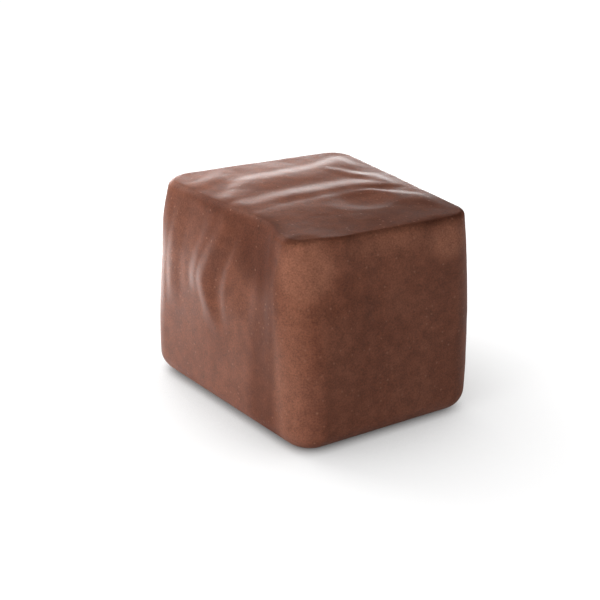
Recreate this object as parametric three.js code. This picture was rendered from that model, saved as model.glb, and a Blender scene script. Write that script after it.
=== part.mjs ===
// A block of marshmallow dipped whole in milk chocolate, as one closed solid.
//
// Millimetres, +Z up. The origin is the middle of the flat base. The front of the sweet faces -Y and its
// rippled left face -X. The chocolate set while it was still running off the top, so its ripples cross the
// top from left to right and turn down over the left and right rims.
import * as THREE from "three";
import { mergeVertices } from "three/addons/utils/BufferGeometryUtils.js";

// ---- Driving dimensions ----------------------------------------------------------------------------------

const HALF_WIDTH = 13.4; // along X, before the bulge and the lean
const HALF_DEPTH = 15.6; // along Y
const HEIGHT = 25.6; // along Z
const RIM_RADIUS = 0.8; // where the top turns down into the left, right and back sides
const FRONT_RIM_RADIUS = 0.5; // where it turns down into the front
const BASE_RADIUS = 2.65; // where the sides turn in to the base

// Radius of each upright edge, seen from above.
const EDGE_RADIUS = { frontLeft: 3.6, frontRight: 3.5, backRight: 3.2, backLeft: 4.2 };
const FRONT_LEFT_AT_TOP = 2; // the front left edge sharpens to this towards the top
const SHARPENS = [0.35, 0.85]; // between these levels, where -1 is the base and 1 the top

// How far the middle of a side stands out from its edges.
const BULGE_X = 0.3;
const BULGE_Y = 0.2;
const BELLY = 0.5; // swelling of all four sides at half their height
const CROWN = 0.2; // rise of the middle of the top

// The block set a little crooked: how far each corner has moved from a true box, along X, Y and Z.
const CORNER_SHIFT = {
  base: {
    front: { left: [1.3, -0.9, 0], right: [-0.5, -0.45, 0] },
    back: { left: [-1.4, 1.5, 0], right: [-0.1, 0, 0] },
  },
  top: {
    front: { left: [2.8, 0.6, 0.1], right: [-1.1, 0.15, -0.15] },
    back: { left: [0.2, 0.4, 0.05], right: [-0.1, -1.25, -0.3] },
  },
};

// The front end of the left face stands out, the stretch behind it is drawn in, and the left end of the front
// is set back. Each row: middle along the face, reach, how far, and the heights between which it grows.
const LEFT_PUSHES = [
  { at: -14.4, reach: 7.5, push: 1, low: 1, high: 20 },
  { at: -5.2, reach: 5.8, push: -0.6, low: 5, high: 20 },
];
const FRONT_CUTS = [
  { at: -13.2, reach: 6.6, push: 1.6, low: 9, high: 23 },
  { at: -5, reach: 10, push: 0.5, low: 9, high: 23 },
];
// How far out from the middle of the top these start, and where they are whole.
const PUSH_FADE = [5, 12];
const CUT_FADE = [7, 14];

// One row a ripple. All of a ripple's numbers are millimetres:
//   at            where its crest crosses the middle of the top, along Y
//   left, right   how far the crest has moved along Y when it reaches that rim
//   swing         how far it swings to the back again, halfway down the left or right face
//   depth         height of the crest
//   back, front   how far its slopes reach behind and before the crest
//   from, to      the stretch it covers, along X on the top and on down the faces
const RIPPLES = [
  { at: 12.6, left: -3.0, right: 0, swing: 1.5, depth: 0.08, back: 2.0, front: 2.2, from: -30, to: -4 },
  { at: 7.4, left: -5.4, right: 2.0, swing: 3.2, depth: 0.18, back: 3.0, front: 4.6, from: -27, to: 14 },
  { at: 7.2, left: 0, right: -6.6, swing: 0, depth: 0.14, back: 2.8, front: 3.4, from: 5, to: 14 },
  { at: -0.2, left: -0.9, right: -1.5, swing: 4.0, depth: 0.19, back: 3.2, front: 2.0, from: -29.5, to: 13 },
  { at: -2.9, left: -0.5, right: -4.7, swing: 2.4, depth: 0.15, back: 2.2, front: 6.0, from: -28, to: 14 },
  { at: -7.0, left: -0.8, right: 0, swing: 1.0, depth: 0.05, back: 2.4, front: 2.4, from: -27, to: -13 },
];
const RIPPLE_FADE = 4; // length over which a ripple dies out at each of its ends
const LEFT_TURN = [4, 12]; // the stretch, out from the middle, where a crest moves over to its place
const RIGHT_TURN = [4.5, 11.5];
const SWING_DROP = [0, 9.5, 15]; // below the top: where a swing starts, is widest, and has partly come back
const SWING_BACK = 0.3; // the part of a swing that has come back at the last of those
// Down a face a ripple is tighter behind its crest and higher than on the top.
const FACE_DROP = [0.5, 5]; // below the top: where it starts to change, and where it has
const FACE_TIGHTER = 0.3; // part that its back slope loses
const FACE_DEEPER = 1.2; // part that its height gains
// Over a rim it lies flatter: how far out from the middle, over what reach, and how much flatter.
const RIM_CALM = { at: 12.4, reach: 2.6, part: 0.8 };

// Shallow forms other than ripples, one row each: middle, reach along X, Y and Z, and height above the face.
const SWELLS = {
  scoopUnderFrontCorner: { at: [-6.4, -15.8, 20.5], reach: [4.2, 4, 4.6], height: -0.2 },
  slopeOfFrontThird: { at: [-3, -17, 25.6], reach: [15, 12, 3], height: -0.14 },
  dishBehindLastRipple: { at: [3.2, -5.4, 25.6], reach: [5, 3.8, 4], height: -0.3 },
  hollowOfFrontFace: { at: [1.5, -16, 12], reach: [10, 4, 10], height: -0.25 },
  patchUnderFrontRim: { at: [9.4, -15.6, 21.8], reach: [3.6, 3, 3], height: 0.16 },
  streakOnFrontFace: { at: [-1.8, -15.8, 17], reach: [1.5, 3, 8], height: -0.08 },
  hollowOfRightFace: { at: [13.4, 2, 12], reach: [4, 9, 9], height: -0.3 },
  swellOfRightFace: { at: [13.2, -8.5, 17], reach: [4, 4, 7], height: 0.2 },
  hollowOfBackFace: { at: [-2, 16, 13], reach: [9, 4, 9], height: -0.3 },
  swellOfBackLeftEdge: { at: [-12.8, 13.4, 21], reach: [4, 5, 5.5], height: 0.28 },
  streakOnBackFace: { at: [5.5, 16, 15], reach: [1.8, 3, 9], height: 0.12 },
};

// Relief keeps clear of the foot, which rests flat.
const FOOT_CLEAR = [1.5, 5.5]; // heights between which the relief comes in

// Faces along each side of the block.
const SEGMENTS = { x: 30, y: 34, z: 26 };
// The parts of half a side that its bends take: the upright edges, the rim and the foot.
const EDGE_SHARE = 0.3;
const RIM_SHARE = 0.14;
const FOOT_SHARE = 0.2;

const CHOCOLATE = { color: 0x7d4a36, roughness: 0.5, metalness: 0 };

// ---- Small helpers ---------------------------------------------------------------------------------------

const { clamp, lerp, smoothstep } = THREE.MathUtils;
const QUARTER = Math.PI / 2;

// A rounded bump, 1 at t = 0 and 0 from t = -1 and t = 1 outwards.
const bump = (t) => Math.max(1 - t * t, 0) ** 2;

// Half a side, 0 to 1, shared between a straight stretch and the nearer half of a quarter-round bend.
function bend(t, share) {
  return {
    straight: Math.min(t / (1 - share), 1),
    angle: (clamp((t - 1 + share) / share, 0, 1) * QUARTER) / 2,
  };
}

// ---- The plain block -------------------------------------------------------------------------------------

// The outline from above. x and y lie on the edge of a square from -1 to 1, and z is the level.
// Returns the point on the outline, and the direction in which the side faces there.
function outline(x, y, z) {
  const { frontRight, backLeft, backRight } = EDGE_RADIUS;
  const frontLeft = lerp(EDGE_RADIUS.frontLeft, FRONT_LEFT_AT_TOP, smoothstep(z, ...SHARPENS));
  const radius = y < 0 ? (x < 0 ? frontLeft : frontRight) : x < 0 ? backLeft : backRight;
  const onSide = Math.abs(x) >= Math.abs(y);
  const [reach, length] = onSide ? [HALF_WIDTH, HALF_DEPTH] : [HALF_DEPTH, HALF_WIDTH];
  const { straight, angle } = bend(Math.min(Math.abs(x), Math.abs(y)), EDGE_SHARE);
  const out = reach - radius + radius * Math.cos(angle);
  const along = straight * (length - radius) + radius * Math.sin(angle);
  const signs = new THREE.Vector2(x < 0 ? -1 : 1, y < 0 ? -1 : 1);
  const point = onSide ? new THREE.Vector2(out, along) : new THREE.Vector2(along, out);
  const facing = new THREE.Vector2(Math.cos(angle), Math.sin(angle));
  if (!onSide) facing.set(facing.y, facing.x);
  return { point: point.multiply(signs), facing: facing.multiply(signs) };
}

// A point of the block from a point of a cube that reaches from -1 to 1: flat top and base, upright sides,
// and a rounded foot and rim. It also gives the direction in which the side faces there.
function block(cube) {
  const ring = Math.max(Math.abs(cube.x), Math.abs(cube.y));
  const { point, facing } =
    ring > 0 ? outline(cube.x / ring, cube.y / ring, cube.z) : outline(1, 0, cube.z);
  const upper = cube.z >= 0;
  const rim = lerp(RIM_RADIUS, FRONT_RIM_RADIUS, Math.max(-facing.y, 0));
  const radius = upper ? rim : BASE_RADIUS;
  const share = upper ? RIM_SHARE : FOOT_SHARE;
  const onWall = bend(Math.abs(cube.z), share);
  const onFlat = bend(ring, share);
  // Up the wall the slope goes from 0 to 45 degrees, and across the flat on to 90.
  const slope = ring < 1 ? QUARTER - onFlat.angle : onWall.angle;
  const inset = radius * (1 - Math.cos(slope));
  const plan = point.addScaledVector(facing, -inset).multiplyScalar(onFlat.straight);
  const straightPart = (upper ? 1 : -1) * (ring < 1 ? 1 : onWall.straight);
  const wall = lerp(BASE_RADIUS, HEIGHT - rim, (straightPart + 1) / 2);
  const z = wall + (upper ? 1 : -1) * radius * Math.sin(slope);
  return { point: new THREE.Vector3(plan.x, plan.y, z), facing };
}

// How far the rows of a list move a point of their face.
function moved(rows, along, z) {
  let total = 0;
  for (const { at, reach, push, low, high } of rows)
    total += push * bump((along - at) / reach) * smoothstep(z, low, high);
  return total;
}

// The sides swell: each bulges between its edges, and all are widest at half their height. The top rises to
// its middle, and the front left edge is brought to its place.
function bulged({ point, facing }) {
  const u = point.x / HALF_WIDTH;
  const v = point.y / HALF_DEPTH;
  const level = point.z / HEIGHT;
  const waist = Math.max(1 - (2 * level - 1) ** 2, 0);
  const swollen = new THREE.Vector3(
    point.x + facing.x * waist * ((1 - v * v) * BULGE_X + BELLY),
    point.y + facing.y * waist * ((1 - u * u) * BULGE_Y + BELLY),
    point.z + (1 - u * u) * (1 - v * v) * level * CROWN,
  );
  const outwards = moved(LEFT_PUSHES, swollen.y, swollen.z) * smoothstep(-swollen.x, ...PUSH_FADE);
  const inwards = moved(FRONT_CUTS, swollen.x, swollen.z) * smoothstep(-swollen.y, ...CUT_FADE);
  return swollen.setX(swollen.x - outwards).setY(swollen.y + inwards);
}

// The block leans: a point moves by its share of what the eight corners have moved.
function leaned(point) {
  const right = (1 + point.x / HALF_WIDTH) / 2;
  const back = (1 + point.y / HALF_DEPTH) / 2;
  const top = point.z / HEIGHT;
  const shift = new THREE.Vector3();
  for (const [level, levelPart] of [["base", 1 - top], ["top", top]])
    for (const [row, rowPart] of [["front", 1 - back], ["back", back]])
      for (const [end, endPart] of [["left", 1 - right], ["right", right]])
        shift.addScaledVector(
          new THREE.Vector3(...CORNER_SHIFT[level][row][end]),
          levelPart * rowPart * endPart,
        );
  return point.clone().add(shift);
}

// ---- Relief ----------------------------------------------------------------------------------------------

// Height of one ripple. run is the way out from the middle along X, over the rim and on down the face.
function ripple(row, run, y, drop) {
  const [start, widest, end] = SWING_DROP;
  const swing = smoothstep(drop, start, widest) - SWING_BACK * smoothstep(drop, widest, end);
  const toLeft = smoothstep(-run, ...LEFT_TURN);
  const toRight = smoothstep(run, ...RIGHT_TURN);
  const crest = row.at + row.left * toLeft + row.right * toRight + row.swing * swing;
  const across = y - crest;
  const onFace = smoothstep(drop, ...FACE_DROP);
  const reach = across > 0 ? row.back * (1 - FACE_TIGHTER * onFace) : row.front;
  const starts = smoothstep(run, row.from, row.from + RIPPLE_FADE);
  const ends = 1 - smoothstep(run, row.to - RIPPLE_FADE, row.to);
  const overRim = 1 - RIM_CALM.part * bump((Math.abs(run) - RIM_CALM.at) / RIM_CALM.reach);
  return row.depth * (1 + FACE_DEEPER * onFace) * bump(across / reach) * starts * ends * overRim;
}

// Height of one shallow form, which fades out over its reach.
function swell({ at, reach, height }, p) {
  const far = Math.hypot((p.x - at[0]) / reach[0], (p.y - at[1]) / reach[1], (p.z - at[2]) / reach[2]);
  return height * bump(Math.min(far, 1));
}

// Height of all the relief at a point of the plain block whose surface faces the given way.
function relief(p, facing) {
  const drop = Math.max(HEIGHT - p.z, 0);
  const run = p.x + Math.sign(p.x) * drop;
  const offFrontAndBack = 1 - smoothstep(Math.abs(facing.y), 0.45, 0.9);
  let height = 0;
  for (const row of RIPPLES) height += ripple(row, run, p.y, drop) * offFrontAndBack;
  for (const row of Object.values(SWELLS)) height += swell(row, p);
  return height * smoothstep(p.z, ...FOOT_CLEAR);
}

// ---- The solid -------------------------------------------------------------------------------------------

function marshmallowGeometry() {
  const cube = new THREE.BoxGeometry(2, 2, 2, SEGMENTS.x, SEGMENTS.y, SEGMENTS.z);
  cube.deleteAttribute("normal");
  cube.deleteAttribute("uv");
  const geometry = mergeVertices(cube);
  geometry.clearGroups();
  const places = geometry.getAttribute("position");
  const point = new THREE.Vector3();
  const facing = new THREE.Vector3();
  for (let i = 0; i < places.count; i++) {
    point.fromBufferAttribute(places, i);
    places.setXYZ(i, ...leaned(bulged(block(point))));
  }
  geometry.computeVertexNormals();
  const normals = geometry.getAttribute("normal");
  for (let i = 0; i < places.count; i++) {
    point.fromBufferAttribute(places, i);
    facing.fromBufferAttribute(normals, i);
    point.addScaledVector(facing, relief(point, facing));
    places.setXYZ(i, ...point);
  }
  geometry.computeVertexNormals();
  geometry.computeBoundingBox();
  const middle = geometry.boundingBox.getCenter(new THREE.Vector3());
  return geometry.translate(-middle.x, -middle.y, 0);
}

const marshmallow = new THREE.Mesh(marshmallowGeometry(), new THREE.MeshStandardMaterial(CHOCOLATE));
marshmallow.name = "chocolate_marshmallow";

const sweet = new THREE.Group();
sweet.add(marshmallow);

export default sweet;
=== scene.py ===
# %% [markdown]
# # A block of marshmallow dipped in milk chocolate
#
# The sweet is one thing to look at: a small block, a little crooked, whose chocolate coat set while it was
# still running off the top. Its looks come from three things, in this order: the form of the block, the
# ripples that the coat froze into, and the satin skin of milk chocolate with its fine grain. Each gets its
# own steps below.
#
# The imported solid is loaded first. Its box is kept, and at the end the box of the finished piece is printed
# beside it.

import math

import bpy
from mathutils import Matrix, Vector


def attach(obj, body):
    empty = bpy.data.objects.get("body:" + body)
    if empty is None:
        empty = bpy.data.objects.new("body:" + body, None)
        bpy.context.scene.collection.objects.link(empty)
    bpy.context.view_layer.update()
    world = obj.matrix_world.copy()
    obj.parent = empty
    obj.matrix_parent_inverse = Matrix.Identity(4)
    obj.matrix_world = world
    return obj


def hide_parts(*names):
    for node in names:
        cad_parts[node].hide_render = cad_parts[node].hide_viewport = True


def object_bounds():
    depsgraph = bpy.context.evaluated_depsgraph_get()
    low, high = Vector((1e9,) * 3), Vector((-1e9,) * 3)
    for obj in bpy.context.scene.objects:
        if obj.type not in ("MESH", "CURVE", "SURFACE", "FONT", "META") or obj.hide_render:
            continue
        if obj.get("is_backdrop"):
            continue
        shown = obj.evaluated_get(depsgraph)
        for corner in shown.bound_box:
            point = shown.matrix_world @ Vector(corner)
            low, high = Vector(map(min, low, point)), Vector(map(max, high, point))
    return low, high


NODE = "chocolate_marshmallow"

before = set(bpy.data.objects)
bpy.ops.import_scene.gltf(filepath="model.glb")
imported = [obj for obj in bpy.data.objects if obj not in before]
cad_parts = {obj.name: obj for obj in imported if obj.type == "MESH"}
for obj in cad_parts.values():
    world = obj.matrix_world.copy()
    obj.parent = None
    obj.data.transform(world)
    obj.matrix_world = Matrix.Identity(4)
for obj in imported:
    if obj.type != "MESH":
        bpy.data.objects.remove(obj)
cad_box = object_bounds()
print("solid:", [round(side * 1000, 2) for side in cad_box[1] - cad_box[0]], "mm")

# %% [markdown]
# ## Writing node trees as sums
#
# Both the form and the finish of this sweet follow rules, and Blender keeps rules in node trees. Wiring nodes
# by hand hides the rule, so a small class wraps a socket: sums written with it add the Math nodes that they
# need. A second class stands for the tree, and adds any other node from its type, its settings and its inputs.
# The same two classes serve Geometry Nodes and materials, because both kinds of tree share these nodes.

# %% A socket that can be used in sums
class Value:
    """An output socket. Adding, subtracting, multiplying or dividing it adds a node to its tree."""

    def __init__(self, sheet, socket):
        self.sheet = sheet
        self.socket = socket

    def sum(self, operation, *inputs):
        wide = any(isinstance(v, Value) and v.socket.type in ("VECTOR", "RGBA") for v in inputs)
        kind = "ShaderNodeVectorMath" if wide else "ShaderNodeMath"
        if wide:
            inputs = [(v, v, v) if isinstance(v, (int, float)) else v for v in inputs]
        return self.sheet.node(kind, {"operation": operation}, dict(enumerate(inputs)))

    def __add__(self, other):
        return self.sum("ADD", self, other)

    def __radd__(self, other):
        return self.sum("ADD", other, self)

    def __sub__(self, other):
        return self.sum("SUBTRACT", self, other)

    def __rsub__(self, other):
        return self.sum("SUBTRACT", other, self)

    def __mul__(self, other):
        return self.sum("MULTIPLY", self, other)

    def __rmul__(self, other):
        return self.sum("MULTIPLY", other, self)

    def __truediv__(self, other):
        return self.sum("DIVIDE", self, other)

    def __rtruediv__(self, other):
        return self.sum("DIVIDE", other, self)

    def __neg__(self):
        return self.sum("MULTIPLY", self, -1)

    def __abs__(self):
        return self.sum("ABSOLUTE", self)

    def out(self, name):
        """Another output of the node that this value comes from."""
        return Value(self.sheet, self.socket.node.outputs[name])


# %% A tree that takes them
class Sheet:
    """A node tree that is written down step by step."""

    def __init__(self, tree):
        self.tree = tree

    def node(self, kind, settings=None, inputs=None, output=0):
        made = self.tree.nodes.new(kind)
        for name, setting in (settings or {}).items():
            setattr(made, name, setting)
        for key, value in (inputs or {}).items():
            if isinstance(value, Value):
                self.tree.links.new(value.socket, made.inputs[key])
            else:
                made.inputs[key].default_value = value
        return Value(self, made.outputs[output])

    def least(self, a, b):
        return self.node("ShaderNodeMath", {"operation": "MINIMUM"}, {0: a, 1: b})

    def most(self, a, b):
        return self.node("ShaderNodeMath", {"operation": "MAXIMUM"}, {0: a, 1: b})

    def below(self, a, b):
        """1 where a is less than b, and 0 elsewhere."""
        return self.node("ShaderNodeMath", {"operation": "LESS_THAN"}, {0: a, 1: b})

    def function(self, operation, a):
        return self.node("ShaderNodeMath", {"operation": operation}, {0: a})

    def axes(self, vector):
        """The X, Y and Z of a vector, as three values."""
        split = self.node("ShaderNodeSeparateXYZ", None, {0: vector})
        return [split.out(axis) for axis in "XYZ"]

    def length(self, vector):
        return self.node("ShaderNodeVectorMath", {"operation": "LENGTH"}, {0: vector}, output="Value")

    def scaled(self, vector, size):
        return self.node("ShaderNodeVectorMath", {"operation": "SCALE"}, {0: vector, "Scale": size})

    def ease(self, value, start, end):
        """0 up to start and 1 from end, with a smooth step between them."""
        smooth = {"interpolation_type": "SMOOTHSTEP"}
        return self.node("ShaderNodeMapRange", smooth, {"Value": value, "From Min": start, "From Max": end})

    def bump(self, t):
        """A rounded bump: 1 where t is 0, and 0 from -1 and 1 outwards."""
        body = self.most(1 - t * t, 0)
        return body * body

    def mix(self, a, b, part):
        """a where part is 0 and b where it is 1."""
        return a + part * (b - a)


MM = 0.001
print("one millimetre is", MM, "of Blender's metres")

# %% [markdown]
# ## The camera
#
# The camera comes before the sweet, because every choice of form is seen through it. It stands to the
# left of the front and looks down on the top. A long lens far from the sweet would flatten it, so a lens and
# its distance belong together. The lens is a guess, because lenses from 66 to 120 mm met the outline equally
# well. For this one, a separate fitting program worked out the distance, the angles and the place looked at.
# It turned and bent a plain rounded block until its outline met the real one's. The angle above the horizon
# was held near a guess as well.

# %% Place the camera
LOOK_FROM = (-32.0, 22.6)  # degrees round from the front, and above the horizon
LOOK_AT = Vector((-1.42, 0.33, 11.80)) * MM
CAMERA_DISTANCE = 185.7 * MM
LENS = 90.0  # mm, before a sensor 36 mm wide


def direction(azimuth, elevation):
    """The unit vector that points from the sweet towards a place round it and above the floor."""
    a, e = math.radians(azimuth), math.radians(elevation)
    return Vector((math.sin(a) * math.cos(e), -math.cos(a) * math.cos(e), math.sin(e)))


camera = bpy.data.objects.new("camera", bpy.data.cameras.new("camera"))
bpy.context.scene.collection.objects.link(camera)
bpy.context.scene.camera = camera
camera.data.lens = LENS
camera.data.clip_start = 1 * MM
camera.location = LOOK_AT + direction(*LOOK_FROM) * CAMERA_DISTANCE
camera.rotation_euler = (-direction(*LOOK_FROM)).to_track_quat("-Z", "Y").to_euler()
print("camera at", [round(c / MM) for c in camera.location], "mm")

# %% [markdown]
# ## The plain block
#
# The marshmallow was cut as a block and rounded by its coat. It could be a cube with a bevel, but a bevel
# has one radius. Here each upright edge is rounded differently, and the front left one grows sharper towards
# the top. The rim at the top is tight, tightest at the front, and the foot is soft. So a rule makes it. A
# finely divided cube goes in, and each of its points moves to its place: its way round the cube gives the
# place on a rounded outline, and its way up the cube gives the place on the foot, the wall, the rim or the
# flat top. Each bend takes a fixed share of the cube's points, which keeps the faces even.

# %% Sizes of the block
# The half width and depth, the foot, the bulges, the belly and all upright edges but the front left one are
# the fitting program's, rounded. The height, both rims, the front left edge and the crown were set by hand.
BLOCK = {
    "Half width": 13.4 * MM,
    "Half depth": 15.6 * MM,
    "Height": 25.6 * MM,
    "Rim": 0.8 * MM,
    "Rim at front": 0.5 * MM,
    "Foot radius": 2.65 * MM,
    "Front left edge": 3.6 * MM,
    "Front left edge at top": 2.0 * MM,
    "Front right edge": 3.5 * MM,
    "Back right edge": 3.2 * MM,
    "Back left edge": 4.2 * MM,
    "Bulge across": 0.3 * MM,
    "Bulge along": 0.2 * MM,
    "Belly": 0.5 * MM,
    "Crown": 0.2 * MM,
}
EDGE_SHARE = 0.3  # the part of half a side that its bend at an upright edge takes
RIM_SHARE = 0.14
FOOT_SHARE = 0.2
SHARPENS = (0.35, 0.85)  # between these levels of the cube the front left edge takes its radius at the top
POINTS = {"Vertices X": 110, "Vertices Y": 130, "Vertices Z": 104}
QUARTER = math.pi / 2
MIDDLE = 1e-5  # keeps the middle of the top and base from dividing by nothing
ON_EDGE = 0.99999  # a point further out than this part of the cube's half side is on its side
print("block:", [round(2 * BLOCK[side] / MM, 1) for side in ("Half width", "Half depth")], "mm before it leans")


# %% The outline seen from above
def bend(sheet, t, share):
    """Half a side, 0 to 1, shared between a straight stretch and the nearer half of a quarter-round bend."""
    straight = sheet.least(t / (1 - share), 1)
    angle = sheet.most(t - (1 - share), 0) * (QUARTER / 2 / share)
    return straight, angle


def outline(sheet, size, x, y, z):
    """Place on the outline, and the way the side faces there, from a point on the edge of a square."""
    front_left = sheet.mix(size["Front left edge"], size["Front left edge at top"], sheet.ease(z, *SHARPENS))
    front = sheet.mix(size["Front right edge"], front_left, sheet.below(x, 0))
    back = sheet.mix(size["Back right edge"], size["Back left edge"], sheet.below(x, 0))
    radius = sheet.mix(back, front, sheet.below(y, 0))
    on_front = sheet.below(abs(x), abs(y))
    reach = sheet.mix(size["Half width"], size["Half depth"], on_front)
    length = sheet.mix(size["Half depth"], size["Half width"], on_front)
    straight, angle = bend(sheet, sheet.least(abs(x), abs(y)), EDGE_SHARE)
    cosine = sheet.function("COSINE", angle)
    sine = sheet.function("SINE", angle)
    out = reach - radius + radius * cosine
    along = straight * (length - radius) + radius * sine
    sign_x = sheet.function("SIGN", x)
    sign_y = sheet.function("SIGN", y)
    place = (sheet.mix(out, along, on_front) * sign_x, sheet.mix(along, out, on_front) * sign_y)
    facing = (sheet.mix(cosine, sine, on_front) * sign_x, sheet.mix(sine, cosine, on_front) * sign_y)
    return place, facing


# %% From cube to block
def block(sheet, size, cube):
    """Place on the block, and the way the side faces there, from a point of a cube from -1 to 1."""
    x, y, z = sheet.axes(cube)
    ring = sheet.most(sheet.most(abs(x), abs(y)), MIDDLE)
    place, facing = outline(sheet, size, x / ring, y / ring, z)
    lower = sheet.below(z, 0)
    rim = sheet.mix(size["Rim"], size["Rim at front"], sheet.most(-facing[1], 0))
    radius = sheet.mix(rim, size["Foot radius"], lower)
    up_rim, angle_rim = bend(sheet, abs(z), RIM_SHARE)
    up_foot, angle_foot = bend(sheet, abs(z), FOOT_SHARE)
    across_rim, over_rim = bend(sheet, ring, RIM_SHARE)
    across_foot, over_foot = bend(sheet, ring, FOOT_SHARE)
    on_flat = sheet.below(ring, ON_EDGE)
    up = sheet.mix(sheet.mix(up_rim, up_foot, lower), 1, on_flat)
    wall_slope = sheet.mix(angle_rim, angle_foot, lower)
    flat_slope = QUARTER - sheet.mix(over_rim, over_foot, lower)
    slope = sheet.mix(wall_slope, flat_slope, on_flat)
    across = sheet.mix(across_rim, across_foot, lower)
    inset = radius * (1 - sheet.function("COSINE", slope))
    sign = 1 - 2 * lower
    low = size["Foot radius"]
    high = size["Height"] - rim
    wall = sheet.mix(low, high, (sign * up + 1) / 2)
    return (
        (place[0] - facing[0] * inset) * across,
        (place[1] - facing[1] * inset) * across,
        wall + sign * radius * sheet.function("SINE", slope),
    ), facing


# %% [markdown]
# A coat never leaves a block flat and true. The sides bulge between their edges and belly out at half their
# height, the top is a little crowned, and the whole block leans: each of its eight corners has moved a little,
# and every point follows its share of them. The shares of a point are how far it is to the right, to the back
# and up.
#
# The front left edge is also pinched. Two pushes along the left face, the first outwards and the second
# inwards, and two cuts in the front grow towards the top and leave a slanted flat beside that edge.

# %% How far each corner has moved
# In mm. All but the two front left rows are the fitting program's, rounded, apart from the rise at the top
# back left. The two front left ones began as fitted rows too and were then moved on.
CORNER_SHIFT = {
    (0, 0, 0): (1.3, -0.9, 0.0),  # base, front, left
    (0, 0, 1): (-0.5, -0.45, 0.0),  # base, front, right
    (0, 1, 0): (-1.4, 1.5, 0.0),  # base, back, left
    (0, 1, 1): (-0.1, 0.0, 0.0),  # base, back, right
    (1, 0, 0): (2.8, 0.6, 0.1),  # top, front, left
    (1, 0, 1): (-1.1, 0.15, -0.15),  # top, front, right
    (1, 1, 0): (0.2, 0.4, 0.05),  # top, back, left
    (1, 1, 1): (-0.1, -1.25, -0.3),  # top, back, right
}
furthest = max(Vector(shift).length for shift in CORNER_SHIFT.values())
print("the corner that moved furthest moved", round(furthest, 1), "mm")

# %% Pushes and cuts
# Along the left face: the middle of each push along Y, its reach, how far it stands out, and the heights
# between which it grows, in mm.
LEFT_PUSHES = [
    (-14.4, 7.5, 1.0, 1.0, 20.0),
    (-5.2, 5.8, -0.6, 5.0, 20.0),
]
# Along the front: the same, with its middle along X, and how far it is set back.
FRONT_CUTS = [
    (-13.2, 6.6, 1.6, 9.0, 23.0),
    (-5.0, 10.0, 0.5, 9.0, 23.0),
]
PUSH_FADE = (5 * MM, 12 * MM)  # how far out from the middle a push starts, and where it is whole
CUT_FADE = (7 * MM, 14 * MM)
print(len(LEFT_PUSHES), "pushes and", len(FRONT_CUTS), "cuts")


# %% Bulge and lean
def bulged(sheet, size, place, facing):
    x, y, z = place
    u = x / size["Half width"]
    v = y / size["Half depth"]
    w = 2 * (z / size["Height"]) - 1
    waist = sheet.most(1 - w * w, 0)
    x = x + facing[0] * waist * ((1 - v * v) * size["Bulge across"] + size["Belly"])
    y = y + facing[1] * waist * ((1 - u * u) * size["Bulge along"] + size["Belly"])
    z = z + (1 - u * u) * (1 - v * v) * (z / size["Height"]) * size["Crown"]

    def moved(rows, along):
        total = 0
        for at, reach, push, low, high in rows:
            near = sheet.bump((along - at * MM) / (reach * MM))
            total = total + near * sheet.ease(z, low * MM, high * MM) * (push * MM)
        return total

    left = x - moved(LEFT_PUSHES, y) * sheet.ease(-x, *PUSH_FADE)
    front = y + moved(FRONT_CUTS, x) * sheet.ease(-y, *CUT_FADE)
    return left, front, z


def leaned(sheet, size, place):
    x, y, z = place
    right = (x / size["Half width"] + 1) / 2
    back = (y / size["Half depth"] + 1) / 2
    top = z / size["Height"]
    moved = sheet.node("ShaderNodeCombineXYZ", None, {"X": x, "Y": y, "Z": z})
    for (is_top, is_back, is_right), shift in CORNER_SHIFT.items():
        part = top if is_top else 1 - top
        part = part * (back if is_back else 1 - back)
        part = part * (right if is_right else 1 - right)
        moved = moved + sheet.scaled(Vector(shift) * MM, part)
    return moved


# %% [markdown]
# ## The ripples
#
# The coat ran off the top to the left and right while it was setting. Its ripples cross the top from side to
# side, turn down over the rims, and swing like brackets down the left face before they fade. They could be
# sculpted, but they are all one kind of thing, so one small tree describes a ripple by numbers that can be
# pointed at, and it is used once for each row below. The tree follows the surface: its run is the way out
# from the middle of the top, over the rim and on down the face.

# %% One ripple as a tree
RIPPLE_SIZES = ("At", "Left", "Right", "Swing", "Depth", "Back", "Front", "From", "To")
RIPPLE_FADE = 4 * MM
LEFT_TURN = (4.0 * MM, 12.0 * MM)  # how far out a ripple starts to turn on the top, and has turned
RIGHT_TURN = (4.5 * MM, 11.5 * MM)
SWING_DROP = (0 * MM, 9.5 * MM, 15 * MM)  # the drops at which a ripple starts to swing, is widest and is back
SWING_BACK = 0.3
FACE_DROP = (0.5 * MM, 5 * MM)  # where a ripple turns from one of the top into one of a face
FACE_TIGHTER = 0.3  # part that the reach of its back slope loses there
FACE_DEEPER = 1.2  # part that its height gains there
RIM_CALM = (12.4 * MM, 2.6 * MM, 0.8)  # where a ripple lies flatter over the rim, how far, and how much


def new_tree(name, inputs, outputs):
    """An empty Geometry Nodes tree with named sockets, as the tree, its sheet and its inputs by name."""
    tree = bpy.data.node_groups.new(name, "GeometryNodeTree")
    for label, kind in inputs:
        tree.interface.new_socket(name=label, in_out="INPUT", socket_type=kind)
    for label, kind in outputs:
        tree.interface.new_socket(name=label, in_out="OUTPUT", socket_type=kind)
    sheet = Sheet(tree)
    entry = tree.nodes.new("NodeGroupInput")
    return tree, sheet, {label: Value(sheet, entry.outputs[label]) for label, kind in inputs}


def finish_tree(sheet, results):
    end = sheet.tree.nodes.new("NodeGroupOutput")
    for label, value in results.items():
        sheet.tree.links.new(value.socket, end.inputs[label])


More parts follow.
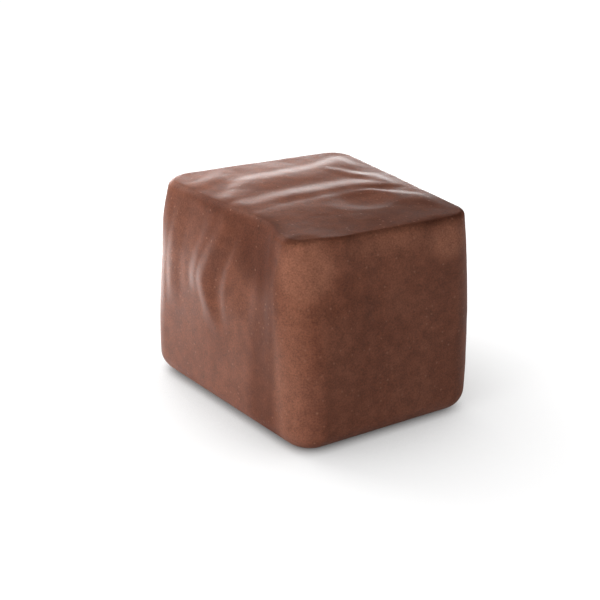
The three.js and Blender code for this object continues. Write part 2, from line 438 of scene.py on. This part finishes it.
def ripple_tree():
    floats = [(label, "NodeSocketFloat") for label in ("Run", "Y", "Drop") + RIPPLE_SIZES]
    tree, sheet, given = new_tree("ripple", floats, [("Height", "NodeSocketFloat")])
    run, y, drop = given["Run"], given["Y"], given["Drop"]
    start, widest, end = SWING_DROP
    swing = sheet.ease(drop, start, widest) - SWING_BACK * sheet.ease(drop, widest, end)
    crest = (
        given["At"]
        + given["Left"] * sheet.ease(-run, *LEFT_TURN)
        + given["Right"] * sheet.ease(run, *RIGHT_TURN)
        + given["Swing"] * swing
    )
    across = y - crest
    on_face = sheet.ease(drop, *FACE_DROP)
    reach = sheet.mix(given["Back"] * (1 - FACE_TIGHTER * on_face), given["Front"], sheet.below(across, 0))
    starts = sheet.ease(run, given["From"], given["From"] + RIPPLE_FADE)
    ends = 1 - sheet.ease(run, given["To"] - RIPPLE_FADE, given["To"])
    middle, far, calm = RIM_CALM
    over_rim = 1 - calm * sheet.bump((abs(run) - middle) / far)
    height = given["Depth"] * (1 + FACE_DEEPER * on_face) * sheet.bump(across / reach)
    finish_tree(sheet, {"Height": height * starts * ends * over_rim})
    return tree


# %% The rows of ripples
# Where each crosses the middle of the top, how far it has moved at the left and right rims, how far it swings
# down a face, its height, the reach of its back and front slopes, and the stretch that it covers, in mm.
RIPPLES = [
    (12.6, -3.0, 0.0, 1.5, 0.08, 2.0, 2.2, -30, -4),
    (7.4, -5.4, 2.0, 3.2, 0.18, 3.0, 4.6, -27, 14),
    (7.2, 0.0, -6.6, 0.0, 0.14, 2.8, 3.4, 5, 14),
    (-0.2, -0.9, -1.5, 4.0, 0.19, 3.2, 2.0, -29.5, 13),
    (-2.9, -0.5, -4.7, 2.4, 0.15, 2.2, 6.0, -28, 14),
    (-7.0, -0.8, 0.0, 1.0, 0.05, 2.4, 2.4, -27, -13),
]
print(len(RIPPLES), "ripples")

# %% [markdown]
# ## Hollows and swells
#
# Between the ripples the coat is not flat either. It thinned to hollows in the middle of its sides, slopes
# down a little at the front of the top, and left a scoop under the front left corner. Here and there it
# gathered in a swell or a streak. Each is a bump with a middle, a reach along each axis, and a height, so one
# more small tree serves them all. They fade out towards the foot, so that the base stays flat.

# %% One shallow form as a tree
def swell_tree():
    inputs = [("Point", "NodeSocketVector"), ("Middle", "NodeSocketVector"), ("Reach", "NodeSocketVector")]
    inputs.append(("Height", "NodeSocketFloat"))
    tree, sheet, given = new_tree("swell", inputs, [("Height", "NodeSocketFloat")])
    away = (given["Point"] - given["Middle"]) / given["Reach"]
    far = sheet.least(sheet.length(away), 1)
    finish_tree(sheet, {"Height": given["Height"] * sheet.bump(far)})
    return tree


# %% The rows of shallow forms
# Middle, reach along X, Y and Z, and height above the face, in mm.
SWELLS = {
    "scoop under the front corner": ((-6.4, -15.8, 20.5), (4.2, 4.0, 4.6), -0.20),
    "slope of the front third": ((-3.0, -17.0, 25.6), (15.0, 12.0, 3.0), -0.14),
    "dish behind the last ripple": ((3.2, -5.4, 25.6), (5.0, 3.8, 4.0), -0.30),
    "hollow of the front face": ((1.5, -16.0, 12.0), (10.0, 4.0, 10.0), -0.25),
    "patch under the front rim": ((9.4, -15.6, 21.8), (3.6, 3.0, 3.0), 0.16),
    "streak on the front face": ((-1.8, -15.8, 17.0), (1.5, 3.0, 8.0), -0.08),
    "hollow of the right face": ((13.4, 2.0, 12.0), (4.0, 9.0, 9.0), -0.30),
    "swell of the right face": ((13.2, -8.5, 17.0), (4.0, 4.0, 7.0), 0.20),
    "hollow of the back face": ((-2.0, 16.0, 13.0), (9.0, 4.0, 9.0), -0.30),
    "swell of the back left edge": ((-12.8, 13.4, 21.0), (4.0, 5.0, 5.5), 0.28),
    "streak on the back face": ((5.5, 16.0, 15.0), (1.8, 3.0, 9.0), 0.12),
}
FOOT_CLEAR = (1.5 * MM, 5.5 * MM)  # all relief starts at the first height and is whole from the second
SIDE_TURN = (0.45, 0.9)  # ripples fade as a face turns this far to the front or back
print(len(SWELLS), "shallow forms")


# %% All the relief
def relief(sheet, size):
    """Height of the relief over the plain block, from its place and the way it faces."""
    point = sheet.node("GeometryNodeInputPosition")
    normal = sheet.node("GeometryNodeInputNormal")
    x, y, z = sheet.axes(point)
    facing_y = sheet.axes(normal)[1]
    drop = sheet.most(size["Height"] - z, 0)
    run = x + sheet.function("SIGN", x) * drop
    off_front_and_back = 1 - sheet.ease(abs(facing_y), *SIDE_TURN)
    height = 0
    one_ripple = ripple_tree()
    for row in RIPPLES:
        numbers = {label: number * MM for label, number in zip(RIPPLE_SIZES, row)}
        numbers.update({"Run": run, "Y": y, "Drop": drop})
        ripple = sheet.node("GeometryNodeGroup", {"node_tree": one_ripple}, numbers)
        height = height + ripple * off_front_and_back
    one_swell = swell_tree()
    for middle, reach, rise in SWELLS.values():
        numbers = {"Point": point, "Middle": Vector(middle) * MM, "Reach": Vector(reach) * MM}
        numbers["Height"] = rise * MM
        height = height + sheet.node("GeometryNodeGroup", {"node_tree": one_swell}, numbers)
    return height * sheet.ease(z, *FOOT_CLEAR), normal, point


# %% [markdown]
# ## Fine unevenness
#
# Up close a dipped sweet is never quite smooth between its ripples. Soft dents a few millimetres across make
# its highlights waver, and the coat's own drag leaves finer ones. Noise makes both. It is added with the
# relief, along the way the surface faces, and it keeps clear of the foot.

# %% Dents from noise
SKIN = {
    "Dent height": 0.06 * MM,
    "Dent spacing": 5.0 * MM,
    "Fine dent height": 0.02 * MM,
    "Fine dent spacing": 1.4 * MM,
}
DENT_SEED = 3.0
FINE_DENT_SEED = 7.0


def dents(sheet, point, spacing, seed):
    """Noise from -1 to 1 over the surface, with its dents about one spacing apart."""
    grain = {"Vector": point / spacing, "W": seed, "Scale": 1.0, "Detail": 1.0, "Roughness": 0.5}
    return (sheet.node("ShaderNodeTexNoise", {"noise_dimensions": "4D"}, grain) - 0.5) * 2


print("dents up to", [round(SKIN[kind] / MM, 3) for kind in ("Dent height", "Fine dent height")], "mm high")


# %% [markdown]
# ## One tree for the whole sweet
#
# The steps above meet in one tree. A divided cube becomes the block, the relief and the dents push it out
# along the way that it faces, and the result is set in the middle of its base.

# %% Build the tree
BASE_CENTRE = (-0.5, -0.5, 0)  # moves a box by minus half the sum of its corners, but not up or down


def sweet_tree():
    floats = [(label, "NodeSocketFloat") for label in (*BLOCK, *SKIN)]
    inputs = [("Geometry", "NodeSocketGeometry"), *floats, ("Chocolate", "NodeSocketMaterial")]
    tree, sheet, size = new_tree("dipped block", inputs, [("Geometry", "NodeSocketGeometry")])
    cube = sheet.node("GeometryNodeMeshCube", None, {"Size": (2, 2, 2), **POINTS})
    place, facing = block(sheet, size, sheet.node("GeometryNodeInputPosition"))
    place = leaned(sheet, size, bulged(sheet, size, place, facing))
    plain = sheet.node("GeometryNodeSetPosition", None, {"Geometry": cube, "Position": place})
    height, normal, point = relief(sheet, size)
    z = sheet.axes(point)[2]
    uneven = dents(sheet, point, size["Dent spacing"], DENT_SEED) * size["Dent height"]
    uneven = uneven + dents(sheet, point, size["Fine dent spacing"], FINE_DENT_SEED) * size["Fine dent height"]
    push = sheet.scaled(normal, height + uneven * sheet.ease(z, *FOOT_CLEAR))
    rippled = sheet.node("GeometryNodeSetPosition", None, {"Geometry": plain, "Offset": push})
    middle = sheet.node("GeometryNodeBoundBox", None, {"Geometry": rippled})
    shift = (middle.out("Min") + middle.out("Max")) * BASE_CENTRE
    centred = sheet.node("GeometryNodeSetPosition", None, {"Geometry": rippled, "Offset": shift})
    smooth = sheet.node("GeometryNodeSetShadeSmooth", None, {"Geometry": centred})
    whole = sheet.node("GeometryNodeRealizeInstances", None, {"Geometry": smooth})
    coated = sheet.node("GeometryNodeSetMaterial", None, {"Geometry": whole, "Material": size["Chocolate"]})
    finish_tree(sheet, {"Geometry": coated})
    return tree


# %% [markdown]
# ## Milk chocolate
#
# Set milk chocolate is a satin brown. It is not one colour: the fat and the cocoa separate a little, so it is
# paler in soft clouds, mottled inside them, sandy up close, and sprinkled with a few pale grains. Its gloss is
# broad, which is why the ripples shine as wide grey bands and not as sharp lines. A single colour with a glossy
# coat would look like plastic, so the colour and the roughness both vary, and a fine bump breaks up the gloss.
#
# Some places carry painted shade: a darker and duller brown where shade falls, in the stretch beside the front
# left edge, high on the left face, along the left and front rims and over the front of the top. Others carry
# painted light: a warmer brown where light falls, on that edge itself and under the front rim. They could be
# painted, but a few ellipsoids in the block do it with numbers that can be moved, and a colour shows wherever
# the surface passes through one.

# %% The colours and the gloss
MILK_BROWN = (0.190, 0.0625, 0.034, 1)
PALE_BROWN = (0.230, 0.083, 0.048, 1)
GRAIN_BROWN = (0.36, 0.16, 0.10, 1)
# the brown of painted shade
PAINTED_SHADE_BROWN = (0.095, 0.030, 0.017, 1)
# the brown of painted light
PAINTED_LIGHT_BROWN = (0.345, 0.135, 0.080, 1)
GLOSS_ROUGHNESS = 0.54
IOR = 1.46
print("milk brown:", MILK_BROWN[:3])

# %% The places of painted shade and painted light
# Middle, reach along X, Y and Z in mm, how much of the colour shows there, and the part of the reach from which
# it fades.
# Painted shade: darker where shade falls, beside the front left edge, high on the left face, along the left and
# front rims and over the front of the top.
PAINTED_SHADE_PLACES = [
    ((-12.2, -9.1, 8.0), (6.0, 3.9, 30.0), 0.5, 0.4),
    ((-11.3, -6.6, 22.4), (4.0, 6.4, 6.4), 0.70, 0.35),
    ((-12.2, -1.0, 25.5), (2.0, 14.0, 1.8), 0.6, 0.2),
    ((-13.0, 3.0, 24.0), (4.0, 14.0, 9.0), 0.3, 0.2),
    ((-9.8, -13.3, 25.6), (3.0, 2.0, 0.8), 0.9, 0.4),
    ((4.0, -15.4, 25.6), (12.0, 1.4, 1.3), 0.6, 0.2),
    ((6.0, -13.0, 25.8), (18.0, 9.5, 2.5), 0.5, 0.3),
]
# Painted light: warmer where light falls, on the front left edge and under the front rim.
PAINTED_LIGHT_PLACES = [
    ((-9.2, -13.4, 21.8), (4.2, 3.2, 4.8), 0.95, 0.55),
    ((-11.2, -13.6, 9.0), (3.4, 3.2, 18.0), 0.50, 0.3),
    ((9.0, -16.0, 22.8), (4.4, 3.0, 3.0), 1.0, 0.3),
    ((1.0, -16.0, 24.2), (8.0, 3.0, 2.4), 0.65, 0.2),
]
DULLER = 0.35  # roughness that a place of painted shade gains where it shows whole
print(len(PAINTED_SHADE_PLACES), "darker places and", len(PAINTED_LIGHT_PLACES), "warmer ones")


def mix_colours(sheet, a, b, part):
    colours = {"data_type": "RGBA"}
    return sheet.node("ShaderNodeMix", colours, {"Factor": part, 6: a, 7: b}, output=2)


def add_places(sheet, point, body, colour, places):
    """The body's colour with another one in its places, and how much of it shows."""
    total = 0
    for middle, reach, part, fades in places:
        away = (point - Vector(middle) * MM) / (Vector(reach) * MM)
        shown = (1 - sheet.ease(sheet.length(away), fades, 1.0)) * part
        body = mix_colours(sheet, body, colour, shown)
        total = total + shown
    return body, total


# %% Clouds, mottle, sand and grains
CLOUD_SPACING = 6 * MM
MOTTLE_SPACING = 1.5 * MM
SAND_SPACING = 0.20 * MM
GRAIN_SPACING = 0.8 * MM
DETAIL = 2
SAND_ROUGHNESS = 0.6  # how strong the finest detail of the sand is
PALE_RISE = (0.35, 0.7)  # noise from which the coat turns paler, and at which it is palest
CLOUD_PART, MOTTLE_PART = 0.6, 0.4
MOTTLE = 0.5  # how much the mottle and the sand brighten or darken the body
SAND = 1.4
GRAIN_EDGE = (0.10, 0.24)  # a grain's solid middle and its outer edge, in spacings
GRAIN_CHOSEN = (0.3, 0.9)  # only cells with a higher random number carry a grain
GRAIN_PART = 0.6
GLOSS_VARIES = 0.15
BUMP_PARTS = {"sand": 0.5, "grain": 0.5, "mottle": 0.8}
BUMP_STRENGTH = 0.5
BUMP_DISTANCE = 0.04 * MM
print("sand", round(SAND_SPACING / MM, 2), "mm and grains", round(GRAIN_SPACING / MM, 2), "mm apart")


def noise(sheet, point, spacing, roughness=0.5):
    grain = {"Vector": point, "Scale": 1 / spacing, "Detail": DETAIL, "Roughness": roughness}
    return sheet.node("ShaderNodeTexNoise", None, grain)


def grains(sheet, point):
    """1 in the middle of a pale grain and 0 between grains."""
    spots = sheet.node("ShaderNodeTexVoronoi", None, {"Vector": point, "Scale": 1 / GRAIN_SPACING})
    chosen = sheet.node("ShaderNodeSeparateColor", None, {0: spots.out("Color")})
    return (1 - sheet.ease(spots, *GRAIN_EDGE)) * sheet.ease(chosen, *GRAIN_CHOSEN)


# %% The chocolate
def new_material(name):
    """An empty material, as the material and its sheet."""
    material = bpy.data.materials.new(name)
    material.use_nodes = True
    material.node_tree.nodes.clear()
    return material, Sheet(material.node_tree)


def show(sheet, shader, end="ShaderNodeOutputMaterial"):
    """Link a shader to the end of its tree."""
    sheet.tree.links.new(shader.socket, sheet.tree.nodes.new(end).inputs["Surface"])


def chocolate_material():
    material, sheet = new_material("milk chocolate")
    point = sheet.node("ShaderNodeTexCoord", output="Object")
    clouds = noise(sheet, point, CLOUD_SPACING)
    mottle = noise(sheet, point, MOTTLE_SPACING)
    sand = noise(sheet, point, SAND_SPACING, SAND_ROUGHNESS)
    pale = sheet.ease(clouds, *PALE_RISE) * CLOUD_PART + sheet.ease(mottle, *PALE_RISE) * MOTTLE_PART
    body = mix_colours(sheet, MILK_BROWN, PALE_BROWN, pale)
    # Painted shade in its places, which also turns the gloss duller there.
    body, painted_shade_part = add_places(sheet, point, body, PAINTED_SHADE_BROWN, PAINTED_SHADE_PLACES)
    # Painted light in its places.
    body, _ = add_places(sheet, point, body, PAINTED_LIGHT_BROWN, PAINTED_LIGHT_PLACES)
    body = body * (1 + MOTTLE * (mottle - 0.5) + SAND * (sand - 0.5))
    grain = grains(sheet, point)
    colour = mix_colours(sheet, body, GRAIN_BROWN, grain * GRAIN_PART)
    rough = GLOSS_ROUGHNESS + (mottle - 0.5) * GLOSS_VARIES + (sand - 0.5) * GLOSS_VARIES + painted_shade_part * DULLER
    raised = sand * BUMP_PARTS["sand"] + grain * BUMP_PARTS["grain"] + mottle * BUMP_PARTS["mottle"]
    bump = {"Strength": BUMP_STRENGTH, "Distance": BUMP_DISTANCE, "Height": raised}
    skin = sheet.node("ShaderNodeBump", None, bump)
    finish = {"Base Color": colour, "Roughness": rough, "Normal": skin, "IOR": IOR}
    show(sheet, sheet.node("ShaderNodeBsdfPrincipled", None, finish))
    return material


chocolate = chocolate_material()
print("material:", chocolate.name, "with", len(chocolate.node_tree.nodes), "nodes")

# %% [markdown]
# ## Making the sweet
#
# A modifier runs the tree. Its sizes are set by each socket's own identifier before anything is evaluated.
# The evaluated result becomes a plain mesh and the carrier is removed, so what is left is an ordinary piece
# that stands at the origin.

# %% Run the tree
def made_by_tree(name, tree, numbers):
    carrier = bpy.data.objects.new(name + "_carrier", bpy.data.meshes.new(name + "_carrier"))
    bpy.context.scene.collection.objects.link(carrier)
    modifier = carrier.modifiers.new("tree", "NODES")
    modifier.node_group = tree
    for item in tree.interface.items_tree:
        if item.item_type == "SOCKET" and item.in_out == "INPUT" and item.name in numbers:
            modifier[item.identifier] = numbers[item.name]
    graph = bpy.context.evaluated_depsgraph_get()
    mesh = bpy.data.meshes.new_from_object(carrier.evaluated_get(graph))
    mesh.name = name
    piece = bpy.data.objects.new(name, mesh)
    bpy.context.scene.collection.objects.link(piece)
    bpy.data.objects.remove(carrier)
    return piece


sweet = made_by_tree("dipped_marshmallow", sweet_tree(), {**BLOCK, **SKIN, "Chocolate": chocolate})
print(sweet.name, len(sweet.data.vertices), "points,", 2 * len(sweet.data.polygons), "triangles")

# %% Fix it to the frame
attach(sweet, "root")
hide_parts(NODE)

# %% [markdown]
# ## Floor and light
#
# The sweet stands on a plain white floor. A white floor that is lit like the sweet would throw so much light
# back that the chocolate would look pale and flat, so the floor has three greys: one for what it shows, one for
# the light that it throws back, and one for its reflection in the gloss. It also glows to the camera, but
# less near the sweet, where the sweet hides the sky from it, and that draws a soft shadow.
#
# Light on the body and light in the gloss are separate too. A real studio would set them apart with black
# cards, but here each lamp can simply be left out of one of them. Four lamps light only the body: a key at the
# left, a weaker fill at the front, one at the right, and a small one above and behind, so close that its light
# falls off across the top from the back left corner. Three show only in the gloss: two behind, low enough to
# graze the top and draw its ripples, and a small card behind the back left corner that draws those on the left
# face. They are set for the view above, and from other sides much of that gloss is missing.

# %% The floor
FLOOR_HALF = 1.5  # metres
FLOOR_GREY = 0.60
FLOOR_GLOSS_GREY = 1.1
FLOOR_SHOWN_GREY = 0.35
FLOOR_GLOW = 1.0
CONTACT = 35 * MM  # how far from the sweet the floor is shaded


def floor_material():
    material, sheet = new_material("white floor")
    seen = sheet.node("ShaderNodeLightPath", output="Is Camera Ray")
    unseen = sheet.mix(FLOOR_GREY, FLOOR_GLOSS_GREY, seen.out("Is Glossy Ray"))
    matt = sheet.node("ShaderNodeBsdfDiffuse", None, {"Color": sheet.mix(unseen, FLOOR_SHOWN_GREY, seen)})
    sky = sheet.node("ShaderNodeAmbientOcclusion", {"samples": 8}, {"Distance": CONTACT}, output="AO")
    glow = {"Color": (1, 1, 1, 1), "Strength": seen * sky * FLOOR_GLOW}
    lit = sheet.node("ShaderNodeEmission", None, glow)
    show(sheet, sheet.node("ShaderNodeAddShader", None, {0: matt, 1: lit}))
    return material


floor_mesh = bpy.data.meshes.new("floor")
corners = [(-1, -1), (1, -1), (1, 1), (-1, 1)]
floor_mesh.from_pydata([(x * FLOOR_HALF, y * FLOOR_HALF, 0) for x, y in corners], [], [(0, 1, 2, 3)])
floor_mesh.materials.append(floor_material())
floor = bpy.data.objects.new("floor", floor_mesh)
bpy.context.scene.collection.objects.link(floor)
floor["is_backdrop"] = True
print("floor", 2 * FLOOR_HALF, "m wide")

# %% The lights
LIGHT_TARGET = Vector((0, 0, 13 * MM))
# Azimuth and elevation in degrees; distance, width and height in mm; power in watts; and whether it lights the
# body and the gloss.
LIGHTS = {
    "key": (-79, 6, 350, 160, 120, 0.78, True, False),
    "fill": (8, 12, 350, 200, 120, 0.28, True, False),
    "right": (100, 6, 350, 160, 120, 0.42, True, False),
    "above": (-161, 40, 80, 60, 60, 0.080, True, False),
    "low back": (157, 3, 300, 250, 30, 0.80, False, True),
    "back": (150, 10, 300, 280, 70, 0.12, False, True),
    "card": (-156, -10, 44, 24, 9, 0.0045, False, True),
}


def add_light(name, azimuth, elevation, distance, width, height, power, on_body, in_gloss):
    lamp = bpy.data.lights.new(name, "AREA")
    lamp.shape = "RECTANGLE"
    lamp.size = width * MM
    lamp.size_y = height * MM
    lamp.energy = power
    holder = bpy.data.objects.new(name, lamp)
    bpy.context.scene.collection.objects.link(holder)
    way = direction(azimuth, elevation)
    holder.location = LIGHT_TARGET + way * distance * MM
    holder.rotation_euler = way.to_track_quat("Z", "Y").to_euler()
    holder.visible_camera = False
    holder.visible_diffuse = on_body
    holder.visible_glossy = in_gloss


for name, row in LIGHTS.items():
    add_light(name, *row)
print(len(LIGHTS), "lights")

# %% The surroundings
WORLD_GREY = 0.05  # how brightly the surroundings light the sweet; to the camera they are white
world = bpy.data.worlds.new("studio")
bpy.context.scene.world = world
world.use_nodes = True
world.node_tree.nodes.clear()
sky = Sheet(world.node_tree)
seen = sky.node("ShaderNodeLightPath", output="Is Camera Ray")
strength = sky.mix(WORLD_GREY, 1.0, seen)
background = sky.node("ShaderNodeBackground", None, {"Color": (1, 1, 1, 1), "Strength": strength})
show(sky, background, "ShaderNodeOutputWorld")
bpy.context.scene.view_settings.view_transform = "Standard"
print("surroundings at", WORLD_GREY)

# %% [markdown]
# ## Sizes
#
# The finish must not change the size of the sweet, so the box of the solid and the box of the finished piece
# are written side by side.

# %% Write the sizes and finish
visual_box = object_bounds()
for name, (low, high) in (("solid", cad_box), ("finished", visual_box)):
    print(name, [round(side / MM, 2) for side in high - low], "mm")
